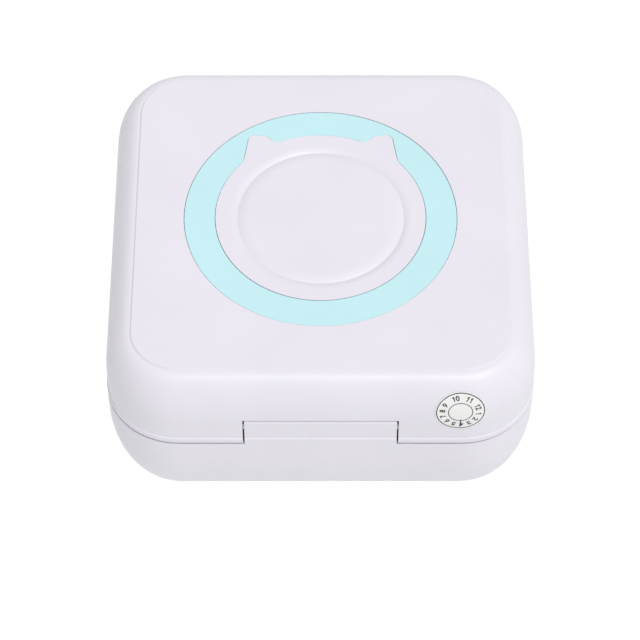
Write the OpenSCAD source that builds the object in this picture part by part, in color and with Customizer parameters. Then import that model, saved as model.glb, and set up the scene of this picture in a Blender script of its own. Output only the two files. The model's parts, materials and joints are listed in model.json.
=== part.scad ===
// Pocket thermal printer. The decorated top shell faces up. The underside has a
// fixed rear cover and a hinged lid that swings down for loading the paper roll.
// Origin: centre of the base. +X right, -Y the hinge side, +Z up. Millimetres.

/* [Case] */
// Overall width
body_w = 86; // [84:0.5:96]
// Overall depth
body_d = 86; // [84:0.5:96]
// Overall height
body_h = 38; // [37:0.5:44]
// Radius of the case's corners, seen from above
corner_r = 15; // [12:0.5:18]
// Height of the seam between the top shell and the underside
seam_z = 20; // [19.5:0.1:21]
// Width of the seam
seam_gap = 0.4; // [0.3:0.05:0.6]
// Wall thickness
wall = 2; // [1.8:0.1:2.2]
// Thickness of the top face
top_wall = 2.4; // [2:0.1:2.6]
// How far the top edge's curve reaches in
top_in = 5.4; // [4:0.2:7]
// How far the top edge's curve reaches down
top_rise = 10.9; // [7:0.5:12]
// Step round the flat top face
top_step = 0.3; // [0.1:0.1:0.6]
// How far the bottom edge's curve reaches in
base_in = 5.8; // [4:0.2:6.4]
// How far the bottom edge's curve reaches up
base_rise = 15.9; // [8:0.5:16]
// Height of the raised lip above the seam
lip_h = 1.6; // [1:0.2:2]
// How far that lip stands proud
lip_step = 0.2; // [0.1:0.05:0.3]
// Bevel on the top shell's lower edge
seam_bevel = 0.4; // [0.3:0.05:0.6]
// Distance of the slot between the lid and the rear cover from the centre
split_y = 7.1; // [6.5:0.1:8]
// Width of that paper slot
split_gap = 1; // [0.8:0.1:1.4]

/* [Ring and disc] */
// Distance of the ring's centre from the case's centre
ring_y = 0.7; // [-1:0.1:2]
// Outer radius of the ring
ring_r = 27.6; // [25:0.1:29]
// Width of the ring
ring_w = 6.1; // [5:0.1:7]
// Thickness of the ring
ring_t = 1.15; // [0.8:0.05:1.2]
// Gap on each side of the ring
ring_gap = 0.15; // [0.1:0.05:0.3]
// Sideways place of an ear's tip
ear_x = 13.5; // [12:0.1:14]
// Distance of an ear's tip circle from the ring's centre, front to back
ear_y = 20; // [19:0.1:20.5]
// Radius of an ear's rounded tip
ear_r = 1.6; // [1:0.1:2]
// Length of the soft bend at each foot of an ear
ear_foot = 2.2; // [1:0.1:2.6]
// Length of an ear's blunt top
ear_flat = 1.9; // [1:0.1:2.4]
// Radius of the crease round the disc
disc_r = 16.9; // [14:0.1:18]
// Depth of that crease
crease_depth = 0.45; // [0.2:0.05:0.6]
// Width of the slope outside the crease
crease_out = 1.6; // [1:0.1:2]
// Width of the slope inside the crease
crease_in = 2.2; // [1:0.1:3]

/* [Hinge] */
// Distance of the hinge pin inside the outer face
pin_inset = 2; // [1.9:0.05:2.1]
// Height of the hinge pin above the seam
pin_rise = 3.9; // [3.9:0.1:4.4]
// Radius of the hinge pin
pin_r = 0.8; // [0.6:0.05:0.9]
// Running clearance round the hinge pin
pin_play = 0.06; // [0.03:0.01:0.1]
// Width of the lid's hinge tab
tab_w = 30.2; // [24:0.2:34]
// Height of the tab above the pin's axis
tab_top = 3.5; // [3:0.1:3.6]
// Gap at each side of the tab
tab_gap = 0.3; // [0.3:0.05:0.6]
// Radius of the sweep cut round the pin's axis
sweep_r = 4.35; // [4.3:0.05:4.5]
// Radius of the lid's knuckle and the shell's bosses
knuckle_r = 1.8; // [1.6:0.05:1.8]
// Length of pin held in each boss
boss_len = 3.5; // [2.5:0.5:5]
// Thickness of the lid's top edge beside the tab
edge_t = 1.2; // [1:0.1:1.3]

/* [Paper] */
// Width of the paper roll
roll_w = 57; // [50:1:57]
// Radius of the paper roll
roll_r = 14; // [12:0.5:14]
// Outer radius of the roll's core
core_r = 6.2; // [5:0.1:8]
// Inner radius of the roll's core
core_hole_r = 4.5; // [3.5:0.1:4.8]
// Gap between the roll and the well's cradle
roll_gap = 0.5; // [0.4:0.05:0.8]
// Gap at each end of the roll
roll_end = 1; // [0.6:0.1:1.2]
// Gap between the roll and the lid's floor
roll_floor = 0.9; // [0.5:0.1:1]
// Thickness of the well's walls
well_t = 1.5; // [1.2:0.1:1.6]
// Width of the well's cheeks, beside the roll
cheek_w = 8; // [7:0.1:8.2]
// Height of the well's rim above the base
rim_z = 3.4; // [3:0.1:4]
// Distance of the well from the outer face at the hinge
well_inset = 8.4; // [8.2:0.1:9]

/* [Platen] */
// Radius of the rubber roller
platen_r = 4.25; // [3.5:0.05:4.4]
// Length of the rubber roller
platen_w = 56.6; // [50:0.2:57]
// Radius of the roller's shaft
shaft_r = 1.5; // [1:0.1:1.6]
// Running clearance of the spinning parts
run_play = 0.05; // [0.03:0.01:0.1]
// Gap between the roller and the lid's edge
platen_edge = 0.35; // [0.3:0.05:0.8]
// Gap between the roller and the lid's floor
platen_floor = 0.75; // [0.6:0.05:1]
// Outer radius of the bushes
bush_r = 2.6; // [2.2:0.1:2.8]

/* [Print mechanism] */
// Gap between the print head and the roller
head_gap = 0.1; // [0.05:0.05:0.3]
// Thickness of the print head's plate
head_t = 1; // [0.6:0.1:1.2]
// Thickness of the heatsink
sink_t = 2; // [1.5:0.1:2.2]
// How far the head can spring back
head_travel = 0.4; // [0.2:0.1:0.5]
// Thickness of the frame's sheet steel
frame_t = 1; // [0.8:0.1:1.2]
// Outer radius of the head's springs
spring_r = 1.75; // [1.4:0.05:2]
// Thickness of the springs' wire
spring_t = 0.4; // [0.3:0.05:0.5]
// Clearance of the head's lugs in the frame
slide_play = 0.1; // [0.05:0.05:0.2]

/* [Gears] */
// Tooth module of all the gears
tooth = 0.5; // [0.45:0.01:0.52]
// Play between two gears' teeth
backlash = 0.1; // [0.05:0.01:0.15]
// Width of the platen's gear
gear_w = 2.2; // [1.8:0.1:2.4]
// Width of the reduction gear's large wheel
wheel_w = 1.4; // [1:0.1:1.4]
// Radius of the gears' axles
axle_r = 0.8; // [0.6:0.05:1]
// Outer radius of the gears' hubs
hub_r = 1.6; // [1.4:0.05:1.8]
// Radius of the motor
motor_r = 7.5; // [6:0.5:7.5]
// Length of the motor
motor_len = 13; // [10:0.5:16]
// Radius of the motor's shaft
motor_shaft_r = 0.75; // [0.6:0.05:1]

/* [Electronics] */
// Height of the board's top face
board_z = 15.7; // [15:0.1:16]
// Thickness of the board
board_t = 1.6; // [1:0.1:1.6]
// Width of the USB port
usb_w = 8.94; // [8:0.1:9]
// Height of the USB port
usb_h = 3.2; // [3:0.05:3.2]
// Length of the USB port
usb_len = 7.3; // [6:0.1:8]
// Gap round the USB port in the case
usb_gap = 0.15; // [0.1:0.05:0.2]
// Sideways place of the status light
light_x = -7.5; // [-12:0.5:-7]
// Radius of the status light
light_r = 0.75; // [0.6:0.05:1]
// Distance of the power button from the case's centre
button_y = 25.6; // [24:0.1:26]
// Length of the power button's cap
button_l = 6; // [5:0.1:7]
// Height of the power button's cap
button_h = 3; // [2.4:0.1:3]
// How far the button stands out
button_out = 0.5; // [0.4:0.1:0.8]
// How far the button travels
button_travel = 0.5; // [0.3:0.05:0.6]
// Gap round the button in the case
button_gap = 0.1; // [0.08:0.01:0.2]
// Length of the battery
battery_l = 40; // [30:1:40]
// Width of the battery
battery_w = 21; // [16:1:21]
// Thickness of the battery
battery_t = 8; // [5:0.5:9]

/* [Fasteners and sticker] */
// Radius of the screws' shanks
screw_r = 1; // [0.8:0.05:1.1]
// Radius of the screws' heads
screw_head_r = 1.9; // [1.6:0.1:2]
// Height of the screws' heads
screw_head_h = 1.2; // [0.8:0.1:1.4]
// Radius of the date sticker
sticker_r = 5; // [4:0.1:5.5]
// Thickness of the date sticker
sticker_t = 0.12; // [0.08:0.01:0.2]

/* [Hidden] */
$fn = 64;
over = 1;               // overshoot of a cut past the face it opens
curve_steps = 8;        // flats in each rounded edge

// Case
half_w = body_w / 2;
half_d = body_d / 2;
core_w = body_w - 2 * corner_r;
core_d = body_d - 2 * corner_r;
shell_z0 = seam_z + seam_gap / 2;
under_z1 = seam_z - seam_gap / 2;
lid_y1 = split_y - split_gap / 2;
cover_y0 = split_y + split_gap / 2;
ceiling_z = body_h - top_wall;
groove_z = body_h - ring_t - 0.05;

// Hinge
hinge_y = -half_d + pin_inset;
hinge_z = seam_z + pin_rise;
notch_w = tab_w + 2 * tab_gap;
pin_half = notch_w / 2 + boss_len;

// Paper well
well_y0 = -half_d + well_inset;
rim_w = well_t + 1.1;
cavity_w = roll_w + 2 * roll_end;
well_half = cavity_w / 2 + cheek_w;
cradle_r = roll_r + roll_gap;
roll_y = well_y0 + rim_w + cradle_r;
roll_z = wall + roll_floor + roll_r + 0.1;
well_y1 = roll_y + cradle_r;
well_z1 = roll_z + cradle_r + 2;
well_corner = 5;

// Platen
platen_y = lid_y1 - platen_edge - platen_r;
platen_z = wall + platen_floor + platen_r;
exit_dir = atan2(platen_y - hinge_y, hinge_z - platen_z);

// Planes across the width, from the middle outwards
ear_x0 = cavity_w / 2 + 0.3;
ear_x1 = ear_x0 + frame_t;
bracket_x0 = ear_x1 + 0.4;
bracket_x1 = bracket_x0 + 1.4;
bush_x0 = ear_x0 - 0.6;
gear_x0 = bracket_x1 + 0.6;
gear_x1 = gear_x0 + gear_w;
wheel_x0 = ear_x1 + 0.6;

// Print mechanism
head_y = platen_y + platen_r + head_gap;
sink_y = head_y + head_t;
sink_y1 = sink_y + sink_t;
frame_z0 = wall + 1.5;
flange_z = platen_z + 6;
back_y = sink_y1 + 4.65;
frame_y1 = back_y + frame_t;
head_half = platen_w / 2 - 1.3;
lug_z = platen_z + 2;
lug_h = 2;
post_r = 3;
post_x = ear_x0 - motor_len - post_r - 0.4;
post_y = (sink_y1 + back_y) / 2 + 0.2;
spring_x = 14;
ribbon_half = post_x - post_r - 1.4;

// Gears: teeth, places and the angle of a tooth on each
platen_n = 16;
idler_n = 24;
small_n = 12;
wheel_n = 26;
pinion_n = 12;
idler_dir = exit_dir;
small_dir = 23;
motor_dir = 37;
platen_at = [platen_y, platen_z];
idler_at = along(platen_at, idler_dir, tooth * (platen_n + idler_n) / 2);
reduction_at = along(idler_at, small_dir, tooth * (idler_n + small_n) / 2);
motor_at = along(reduction_at, motor_dir, tooth * (wheel_n + pinion_n) / 2);
platen_turn = idler_dir;
idler_turn = mate_turn(platen_n, platen_turn, idler_dir, idler_n);
small_turn = mate_turn(idler_n, idler_turn, small_dir, small_n);
wheel_turn = motor_dir;
pinion_turn = mate_turn(wheel_n, wheel_turn, motor_dir, pinion_n);

// Electronics
usb_z = board_z + usb_h / 2;
port_y1 = half_d - 0.5;
switch_z = board_z + 1.4;
button_z = switch_z - 0.3;
button_x1 = half_w + button_out;
flange_x1 = half_w - wall - 0.1;
stem_x0 = flange_x1 - 2.3;
plunger_x1 = stem_x0 - button_travel - 0.05;
board_x0 = 16 - half_w;
board_x1 = plunger_x1 - 0.6;
board_y0 = half_d - 21;
board_y1 = half_d - wall - 0.8;
board_cut = core_w / 2 + core_d / 2 + sqrt(2) * (corner_r - wall - 1.6);
battery_z1 = ceiling_z - 0.5;
battery_y0 = post_y + 3.6;
battery_x0 = motor_len - ear_x0 + 6.8;

function along(p, dir, d) = p + d * [cos(dir), sin(dir)];

// The angle of a tooth on a gear that meshes with another: n1 teeth, one at the
// angle turn1, and the second gear, with n2 teeth, in the direction dir from it.
function mate_turn(n1, turn1, dir, n2) = dir + 180 - (180 - n1 * (dir - turn1)) / n2;

// Quarter ellipse as [inset, height] points, from upright at (u0, z0) to flat at (u1, z1)
function rounding(u0, z0, u1, z1) = [for (i = [0:curve_steps]) let (a = 90 * i / curve_steps)
    [u0 + (u1 - u0) * (1 - cos(a)), z0 + (z1 - z0) * sin(a)]];

function reversed(v) = [for (i = [len(v) - 1:-1:0]) v[i]];

// Case profiles, from the bottom up
top_outer = concat(
    [[seam_bevel, shell_z0], [0, shell_z0 + seam_bevel], [0, shell_z0 + lip_h],
     [lip_step, shell_z0 + lip_h + lip_step]],
    rounding(lip_step, body_h - top_rise, top_in, body_h - top_step),
    [[top_in + top_step, body_h]]);
top_inner = concat([[wall, seam_z - 3]], rounding(wall, body_h - top_rise, top_in, ceiling_z));
under_outer = concat(reversed(rounding(0, base_rise, base_in, 0)), [[0, under_z1]]);
under_inner = concat(reversed(rounding(wall, base_rise, base_in, wall)), [[wall, seam_z + 3]]);

// Solid with the case's plan outline and the given profile of [inset, height] points
module form(profile, grow = 0) {
    z0 = profile[0][1];
    z1 = profile[len(profile) - 1][1];
    points = concat([[0, z0]], [for (p = profile) [corner_r + grow - p[0], p[1]]], [[0, z1]]);
    translate([-core_w / 2, -core_d / 2, z0]) cube([core_w, core_d, z1 - z0]);
    for (k = [0:3]) {
        out = k % 2 == 0 ? core_w / 2 : core_d / 2;
        side = k % 2 == 0 ? core_d : core_w;
        rotate([0, 0, 90 * k]) translate([out, side / 2, 0]) {
            rotate([90, 0, 0]) linear_extrude(side) polygon(points);
            rotate_extrude(angle = 90) polygon(points);
        }
    }
}

// Extrudes a drawing of the Y-Z plane from x0 to x1
module across(x0, x1) {
    translate([x0, 0, 0]) rotate([90, 0, 90]) linear_extrude(x1 - x0) children();
}

// The same at both sides of the object, x0 and x1 counted outwards from the middle
module both_sides(x0, x1) {
    across(x0, x1) children();
    across(-x1, -x0) children();
}

module box(low, high) {
    translate(low) cube(high - low);
}

module disc_at(p, r) {
    translate(p) circle(r = r);
}

module slot_2d(l, h) {
    square([l - h, h], center = true);
    for (s = [-1, 1]) translate([s * (l - h) / 2, 0]) circle(d = h);
}

// Upright screw at p, its head's seat at z and its shank towards dir
module screw(p, z, len, dir) {
    translate([p[0], p[1], z]) mirror([0, 0, dir > 0 ? 0 : 1]) {
        cylinder(r = screw_r, h = len);
        translate([0, 0, -screw_head_h]) cylinder(r = screw_head_r, h = screw_head_h);
    }
}

// Involute gear outline with a tooth at the angle turn
module gear_2d(n, turn) {
    pitch_r = tooth * n / 2;
    base_r = pitch_r * cos(20);
    tip_r = pitch_r + 0.95 * tooth;
    root_r = pitch_r - 1.25 * tooth;
    foot_r = max(base_r, root_r);
    half = 90 / n - backlash / 4 / pitch_r * 180 / PI;
    radii = [for (i = [0:3]) foot_r + (tip_r - foot_r) * i / 3];
    flank = concat([[root_r, half + roll_off(20) - roll_off(0)]],
        [for (r = radii) [r, half + roll_off(20) - roll_off(acos(min(1, base_r / r)))]]);
    rotate(turn) polygon([for (k = [0:n - 1], side = [-1, 1], i = [0:len(flank) - 1])
        let (f = flank[side < 0 ? i : len(flank) - 1 - i], a = 360 * k / n + side * f[1])
        f[0] * [cos(a), sin(a)]]);
}

function roll_off(a) = tan(a) * 180 / PI - a;

// Direction from c to where a line from p touches the circle of radius r round it
function touch_dir(p, c, r, side) = let (v = p - c) atan2(v[1], v[0]) + side * acos(r / norm(v));

// Curve from p to r that starts and ends towards q
function bend(p, q, r) = [for (t = [0:0.25:1]) (1 - t) * (1 - t) * p + 2 * t * (1 - t) * q + t * t * r];

// From the ring's middle out to one ear. Its top is blunt, between a large corner outside and a
// smaller one inside, and its feet bend softly into the ring's inner edge.
module ear_2d(grow) {
    root_r = ring_r - ring_w;
    sunk_r = root_r - 0.3;
    spread = ear_foot / 2 / root_r * 180 / PI;
    tip = [ear_x, ear_y];
    corner = [ear_x - ear_flat, ear_y];
    r = ear_r + grow;
    corner_r = 0.8 * ear_r + grow;
    outer = root_r * [cos(42), sin(42)] + [grow, 0];
    inner = root_r * [cos(64.5), sin(64.5)] - [grow, 0];
    a0 = touch_dir(outer, tip, r, 1);
    a1 = 90 + asin(0.2 * ear_r / ear_flat);
    a2 = touch_dir(inner, corner, corner_r, -1) + 360;
    outer_side = (along(tip, a0, r) - outer) / norm(along(tip, a0, r) - outer);
    inner_side = (along(corner, a2, corner_r) - inner) / norm(along(corner, a2, corner_r) - inner);
    polygon(concat([[0, 0]],
        bend(along([0, 0], 42 - spread, sunk_r), outer, outer + outer_side * ear_foot / 2),
        [for (i = [0:7]) along(tip, a0 + (a1 - a0) * i / 7, r)],
        [for (i = [0:3]) along(corner, a1 + (a2 - a1) * i / 3, corner_r)],
        bend(inner + inner_side * ear_foot / 2, inner, along([0, 0], 64.5 + spread, sunk_r))));
}

// The flush ring, wider by grow on every side
module ring_2d(grow) {
    difference() {
        circle(r = ring_r + grow, $fn = 128);
        circle(r = ring_r - ring_w - grow, $fn = 128);
        for (s = [0, 1]) mirror([s, 0]) ear_2d(-grow);
    }
}

// Bulge round the hinge pin on the wall's inner side
module knuckle_2d() {
    intersection() {
        disc_at([hinge_y, hinge_z], knuckle_r);
        translate([hinge_y - 0.5, hinge_z - knuckle_r]) square(2 * knuckle_r);
    }
}

module case_post(x, y, z) {
    translate([x, y, z]) cylinder(r = post_r, h = ceiling_z + 0.5 - z);
}

module case_pilot(x, y, z, depth) {
    translate([x, y, z - over]) cylinder(r = screw_r, h = depth + over);
}

well_screw_at = [for (s = [-1, 1], y = [well_y0 + 7, well_y1 - 5]) [s * (cavity_w / 2 + cheek_w / 2), y]];
screw_bite = 4.6;

module top_shell() color("#e6e4ea") {
    difference() {
        union() {
            difference() {
                form(top_outer);
                form(top_inner);
            }
            both_sides(notch_w / 2, pin_half + 0.8) knuckle_2d();
            for (p = well_screw_at) case_post(p[0], p[1], well_z1);
            for (s = [-1, 1]) case_post(s * post_x, post_y, flange_z + frame_t);
        }
        across(-notch_w / 2, notch_w / 2) {
            disc_at([hinge_y, hinge_z], sweep_r);
            translate([-half_d - over, shell_z0 - over])
                square([over + wall + pin_inset, hinge_z - shell_z0 + over]);
        }
        across(-pin_half, pin_half) disc_at([hinge_y, hinge_z], pin_r);
        for (p = well_screw_at) case_pilot(p[0], p[1], well_z1, screw_bite - 1.6);
        for (s = [-1, 1]) case_pilot(s * post_x, post_y, flange_z + frame_t, screw_bite);
        translate([0, ring_y, groove_z]) linear_extrude(body_h - groove_z + over) ring_2d(ring_gap);
        translate([0, ring_y, 0]) rotate_extrude() polygon([[disc_r + crease_out, body_h],
            [disc_r + crease_out, body_h + over], [disc_r - crease_in, body_h + over],
            [disc_r - crease_in, body_h], [disc_r, body_h - crease_depth]]);
    }
}

module ring_inlay() color("#bfe3e2") {
    translate([0, ring_y, groove_z]) linear_extrude(ring_t) ring_2d(0);
}

// Wraps on the front wall, its middle halfway up the top edge's curve
sticker_x = half_w - 15.6;
sticker_z = body_h - 7;
sticker_tilt = 13;

module date_sticker() color("#f4f1ee") {
    intersection() {
        translate([sticker_x, -half_d, sticker_z]) rotate([90 - sticker_tilt, 0, 0])
            cylinder(r = sticker_r, h = 8, center = true);
        difference() {
            form(top_outer, sticker_t);
            form(top_outer);
        }
    }
}

module under_shell() {
    difference() {
        form(under_outer);
        form(under_inner);
    }
}

board_screw_at = [[board_x0 + 5, board_y0 + 4], [half_w - 14, board_y0 + 4]];

module rear_cover() color("#e6e4ea") {
    tongue_t = 1;
    difference() {
        union() {
            intersection() {
                union() {
                    under_shell();
                    difference() {
                        form([[wall, base_rise], [wall, shell_z0 + 2]]);
                        form([[wall + tongue_t, base_rise - over], [wall + tongue_t, shell_z0 + 2 + over]]);
                    }
                }
                box([-half_w, cover_y0, 0], [half_w, half_d, body_h]);
            }
            for (p = board_screw_at) translate([p[0], p[1], wall - 0.5])
                cylinder(r = 2.5, h = board_z - board_t - wall + 0.5);
        }
        for (p = board_screw_at) translate([p[0], p[1], board_z - board_t - 5])
            cylinder(r = screw_r, h = 5 + over);
        // port and light
        translate([0, half_d + over, usb_z]) rotate([90, 0, 0])
            linear_extrude(wall + tongue_t + 2 * over) slot_2d(usb_w + 2 * usb_gap, usb_h + 2 * usb_gap);
        translate([light_x, half_d + over, usb_z]) rotate([90, 0, 0])
            cylinder(r = light_r, h = wall + tongue_t + 2 * over);
        box([-half_w / 3, half_d - wall - tongue_t - over, base_rise], [half_w / 3, half_d - wall, body_h]);
        // button
        across(half_w - wall - tongue_t - over, half_w + over) translate([button_y, button_z])
            slot_2d(button_l + 2 * button_gap, button_h + 2 * button_gap);
        box([half_w - wall - tongue_t - over, button_y - button_l, base_rise],
            [half_w - wall, button_y + button_l, body_h]);
    }
}

module lid() color("#e6e4ea") {
    foot_y0 = platen_y - 4;
    foot_y1 = lid_y1 - 0.4;
    difference() {
        union() {
            intersection() {
                under_shell();
                box([-half_w, -half_d, 0], [half_w, lid_y1, body_h]);
            }
            // hinge tab and knuckle
            across(-tab_w / 2, tab_w / 2) {
                polygon([[-half_d, under_z1 - 2], [-half_d, shell_z0 + lip_h],
                    [-half_d + lip_step, shell_z0 + lip_h + lip_step],
                    [-half_d + lip_step, hinge_z + tab_top - 0.4],
                    [-half_d + lip_step + 0.4, hinge_z + tab_top],
                    [hinge_y, hinge_z + tab_top], [hinge_y, under_z1 - 2]]);
                knuckle_2d();
            }
            // brackets that carry the roller's bushes
            both_sides(bracket_x0, bracket_x1) union() {
                translate([foot_y0, wall - 0.5]) square([foot_y1 - foot_y0, platen_z - wall + 0.5]);
                disc_at([platen_y, platen_z], bush_r + 1.2);
            }
            // edge along the paper slot
            box([-half_w + 9, lid_y1 - 1.2, wall - 0.5], [half_w - 9, lid_y1, wall + 0.6]);
        }
        across(-tab_w / 2 - over, tab_w / 2 + over) disc_at([hinge_y, hinge_z], pin_r + pin_play);
        both_sides(tab_w / 2, core_w / 2)
            translate([-half_d + edge_t, under_z1 - 1.3]) square([wall - edge_t + 0.5, 1.3 + over]);
        both_sides(bracket_x0 - over, bracket_x1 + over) disc_at([platen_y, platen_z], bush_r);
    }
}

module hinge_pin() color("#b9bcc0") {
    across(-pin_half, pin_half) disc_at([hinge_y, hinge_z], pin_r);
}

module platen_roller() color("#2b2b2d") {
    across(-platen_w / 2, platen_w / 2) difference() {
        disc_at(platen_at, platen_r);
        disc_at(platen_at, shaft_r);
    }
}

module platen_shaft() color("#b9bcc0") {
    across(-gear_x1 - 0.3, bracket_x1 + 0.8) disc_at(platen_at, shaft_r);
}

module platen_gear() color("#f2f2ee") {
    across(-gear_x1, -gear_x0) difference() {
        translate(platen_at) gear_2d(platen_n, platen_turn);
        disc_at(platen_at, shaft_r);
    }
}

module platen_bushes() color("#f2f2ee") {
    both_sides(bush_x0, bracket_x1) difference() {
        disc_at(platen_at, bush_r);
        disc_at(platen_at, shaft_r + run_play);
    }
}

module well_outline(inset) {
    x = well_half - inset;
    y0 = well_y0 + inset;
    y1 = well_y1 - inset;
    r = well_corner - inset;
    translate([-x, y0 + r]) square([2 * x, y1 - y0 - r]);
    translate([-x + r, y0]) square([2 * (x - r), r + 0.01]);
    for (s = [-1, 1]) disc_at([s * (x - r), y0 + r], r);
}

module paper_well() color("#f3f3f1") {
    arm_y1 = lid_y1 - 1;
    step_y = well_y1 + 1.4;
    difference() {
        union() {
            // cheeks
            difference() {
                translate([0, 0, rim_z]) linear_extrude(well_z1 - rim_z) well_outline(0);
                translate([0, 0, rim_z + well_t]) linear_extrude(well_z1 - rim_z) intersection() {
                    well_outline(well_t);
                    for (s = [0, 1]) mirror([s, 0])
                        translate([cavity_w / 2 + well_t, well_y0]) square([cheek_w, 2 * cradle_r + rim_w]);
                }
                box([-cavity_w / 2, well_y0 - over, rim_z - over],
                    [cavity_w / 2, well_y1 + over, well_z1 + over]);
            }
            // screw tubes
            for (p = well_screw_at) translate([p[0], p[1], rim_z])
                cylinder(r = cheek_w / 2 - well_t + 0.4, h = well_z1 - rim_z);
            // cradle over the roll
            across(-cavity_w / 2 - 0.1, cavity_w / 2 + 0.1) difference() {
                union() {
                    intersection() {
                        disc_at([roll_y, roll_z], cradle_r + well_t);
                        translate([well_y0, roll_z]) square([2 * cradle_r + 10, well_z1 - roll_z]);
                    }
                    translate([well_y0 + rim_w - well_t, rim_z]) square([well_t, roll_z - rim_z]);
                    translate([well_y0, rim_z]) square([rim_w, well_t]);
                    translate([well_y1 - 1, roll_z + 1]) square([step_y - well_y1 + 1, 4]);
                }
                disc_at([roll_y, roll_z], cradle_r);
            }
            // arms beside the print mechanism
            both_sides(well_half - well_t, well_half) difference() {
                translate([well_y1 - 1, rim_z]) square([arm_y1 - well_y1 + 1, roll_z - rim_z]);
                translate([platen_y - 8, rim_z - over]) square([7.5, 5 + over]);
            }
        }
        for (p = well_screw_at) translate([p[0], p[1], rim_z - over]) {
            cylinder(r = screw_head_r + 0.2, h = well_z1 - 2 - rim_z + over);
            cylinder(r = screw_r + 0.1, h = well_z1 - rim_z + 2 * over);
        }
    }
}

module well_screws() color("#8d9095") {
    for (p = well_screw_at) screw(p, well_z1 - 2, screw_bite, 1);
}

module paper_roll() color("#fbfbf8") {
    across(-roll_w / 2, roll_w / 2) difference() {
        disc_at([roll_y, roll_z], roll_r);
        disc_at([roll_y, roll_z], core_r);
    }
}

module paper_core() color("#cdbfa6") {
    across(-roll_w / 2, roll_w / 2) difference() {
        disc_at([roll_y, roll_z], core_r);
        disc_at([roll_y, roll_z], core_hole_r);
    }
}

module paper_sensor() color("#232326") {
    box([8, well_y1 + 0.1, roll_z - 2.2], [12, well_y1 + well_t - 0.1, roll_z]);
}

// Slot that the bush leaves through as the lid opens
module bush_slot() {
    r = bush_r + 0.35;
    disc_at(platen_at, r);
    translate(platen_at) rotate(exit_dir + 180 + 1.5) translate([0, -r]) square([12, 2 * r]);
}

module print_frame() color("#a9adb2") {
    foot_y = platen_y - 3.9;
    mouth = [[foot_y, frame_z0], [frame_y1, frame_z0], [frame_y1, flange_z + frame_t]];
    difference() {
        union() {
            // plain ear
            across(ear_x0, ear_x1) polygon(concat(mouth, [[foot_y, flange_z + frame_t]]));
            // ear that carries the gears and the motor
            across(-ear_x1, -ear_x0) polygon(concat(mouth, [
                [motor_at[0] + 1, motor_at[1] - motor_r - 1.2], [motor_at[0] + motor_r + 0.8, motor_at[1] - 3],
                [motor_at[0] + motor_r + 0.8, motor_at[1] + 5], [motor_at[0] + 3, motor_at[1] + motor_r],
                [motor_at[0] - 5, motor_at[1] + motor_r], [idler_at[0] - 3, idler_at[1] + 3],
                [foot_y, flange_z + frame_t]]));
            // back plate and flange
            box([-ear_x1, back_y, frame_z0], [ear_x1, frame_y1, flange_z + frame_t]);
            box([-ear_x1, sink_y1 + 0.5, flange_z], [ear_x1, frame_y1, flange_z + frame_t]);
            // pegs inside the springs
            for (s = [-1, 1]) translate([s * spring_x, back_y + 0.1, platen_z]) rotate([90, 0, 0])
                cylinder(r = spring_r - spring_t - 0.15, h = 1.6);
        }
        both_sides(ear_x0 - over, ear_x1 + over) {
            bush_slot();
            translate([sink_y + 0.2 - slide_play, lug_z - slide_play])
                square([sink_t - 0.4 + head_travel + 2 * slide_play, lug_h + 2 * slide_play]);
        }
        for (s = [-1, 1]) translate([s * post_x, post_y, flange_z - over])
            cylinder(r = screw_r + 0.1, h = frame_t + 2 * over);
        across(-ear_x1 - over, -ear_x0 + over) {
            disc_at(idler_at, axle_r);
            disc_at(reduction_at, axle_r);
            disc_at(motor_at, motor_shaft_r + 0.8);
            for (p = motor_screw_at) disc_at(p, screw_r);
        }
    }
}

motor_screw_at = [for (a = [motor_dir - 70, motor_dir + 70]) along(motor_at, a, motor_r - 2.4)];

module frame_screws() color("#8d9095") {
    for (s = [-1, 1]) screw([s * post_x, post_y], flange_z, screw_bite, 1);
}

module print_head() color("#5d4a3a") {
    box([-head_half, head_y, platen_z - 3.5], [head_half, sink_y, platen_z + 4.5]);
}

module head_heatsink() color("#c3c6ca") {
    box([-head_half - 0.8, sink_y, platen_z - 3.5], [head_half + 0.8, sink_y1, platen_z + 5]);
    both_sides(head_half + 0.7, ear_x1) translate([sink_y + 0.2, lug_z]) square([sink_t - 0.4, lug_h]);
}

module head_springs() color("#b9bcc0") {
    for (s = [-1, 1]) translate([s * spring_x, back_y, platen_z]) rotate([90, 0, 0]) difference() {
        cylinder(r = spring_r, h = back_y - sink_y1);
        translate([0, 0, -over]) cylinder(r = spring_r - spring_t, h = back_y - sink_y1 + 2 * over);
    }
}

// Flat cable from above the head to the board's connector
ribbon_z = board_z + 1.3;

module head_ribbon() color("#d9a441") {
    y0 = sink_y + 0.2;
    z0 = platen_z + 5.3;
    t = 0.25;
    y1 = board_y0 + 1;
    across(-ribbon_half, ribbon_half) polygon([[y0, z0], [y0 + t, z0], [y0 + t, ribbon_z - t],
        [y1, ribbon_z - t], [y1, ribbon_z], [y0, ribbon_z]]);
}

module idler_gear() color("#f2f2ee") {
    difference() {
        union() {
            across(-gear_x1, -gear_x0) translate(idler_at) gear_2d(idler_n, idler_turn);
            across(-gear_x0 - 0.1, -ear_x1 - 0.1) disc_at(idler_at, hub_r);
        }
        across(-gear_x1 - over, -ear_x1) disc_at(idler_at, axle_r + run_play);
    }
}

module reduction_gear() color("#f2f2ee") {
    difference() {
        union() {
            across(-gear_x1, -wheel_x0 - wheel_w + 0.1) translate(reduction_at) gear_2d(small_n, small_turn);
            across(-wheel_x0 - wheel_w, -wheel_x0) translate(reduction_at) gear_2d(wheel_n, wheel_turn);
            across(-wheel_x0 - 0.1, -ear_x1 - 0.1) disc_at(reduction_at, hub_r);
        }
        across(-gear_x1 - over, -ear_x1) disc_at(reduction_at, axle_r + run_play);
    }
}

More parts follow.
